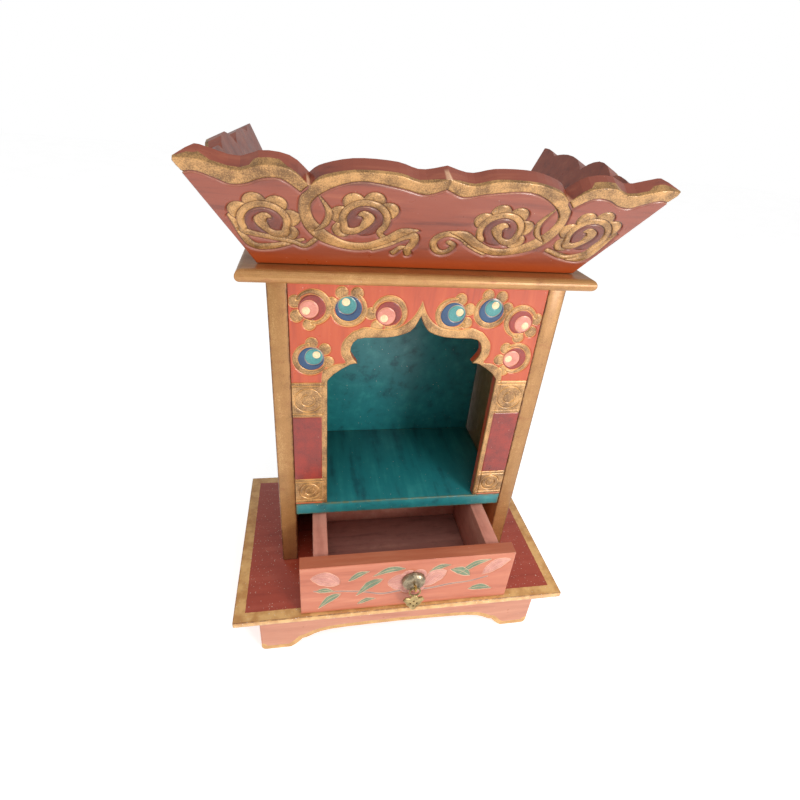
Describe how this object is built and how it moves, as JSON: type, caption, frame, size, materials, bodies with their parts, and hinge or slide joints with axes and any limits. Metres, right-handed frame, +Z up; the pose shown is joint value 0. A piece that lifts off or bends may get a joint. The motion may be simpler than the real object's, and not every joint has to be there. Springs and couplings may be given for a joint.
{
  "type": "household altar cabinet",
  "caption": "Carved tabletop altar cabinet: arched open niche over a shallow drawer with a drop pull, on a bracket-footed base under a flared scalloped crown.",
  "frame": {"origin": "on the surface it stands on, in the middle of its footprint box with the drawer part open", "axes": "+Z up, -Y out of the niche and along the drawer's pull, +X to the right as seen from the front"},
  "size_m": [0.3576, 0.2314, 0.4957],
  "materials": {
    "red_lacquer": "satin",
    "terracotta": "satin",
    "bronze_gilt": "satin",
    "varnished": "gloss",
    "carved_face": "gloss",
    "teal": "matte",
    "raw_wood": "matte",
    "salmon": "satin",
    "pewter": "satin",
    "brass": "polished"
  },
  "bodies": {
    "cabinet": {"apron_front": "terracotta", "apron_back": "terracotta", "apron_left": "terracotta", "apron_right": "terracotta", "base_board": "red_lacquer", "side_board_left": "bronze_gilt", "side_board_right": "bronze_gilt", "back_panel": "teal", "niche_floor": "teal", "face_panel": "carved_face", "cornice": "bronze_gilt", "crown_front": "varnished", "crown_left": "varnished", "crown_right": "varnished"},
    "drawer": {"drawer_front": "salmon", "drawer_side_left": "raw_wood", "drawer_side_right": "raw_wood", "drawer_back": "raw_wood", "drawer_bottom": "raw_wood", "pull_rosette": "pewter", "pull_eye": "brass"},
    "pull": {"pull_drop": "pewter"}
  },
  "joints": [
    {"name": "drawer_slide", "type": "slide", "parent": "cabinet", "child": "drawer", "axis": [0, -1, 0], "range_m": [-0.0715, 0.045]},
    {"name": "pull_swing", "type": "hinge", "parent": "drawer", "child": "pull", "pos_m": [0.004, -0.11205, 0.108], "axis": [-1, 0, 0], "range_deg": [-8, 165]}
  ]
}
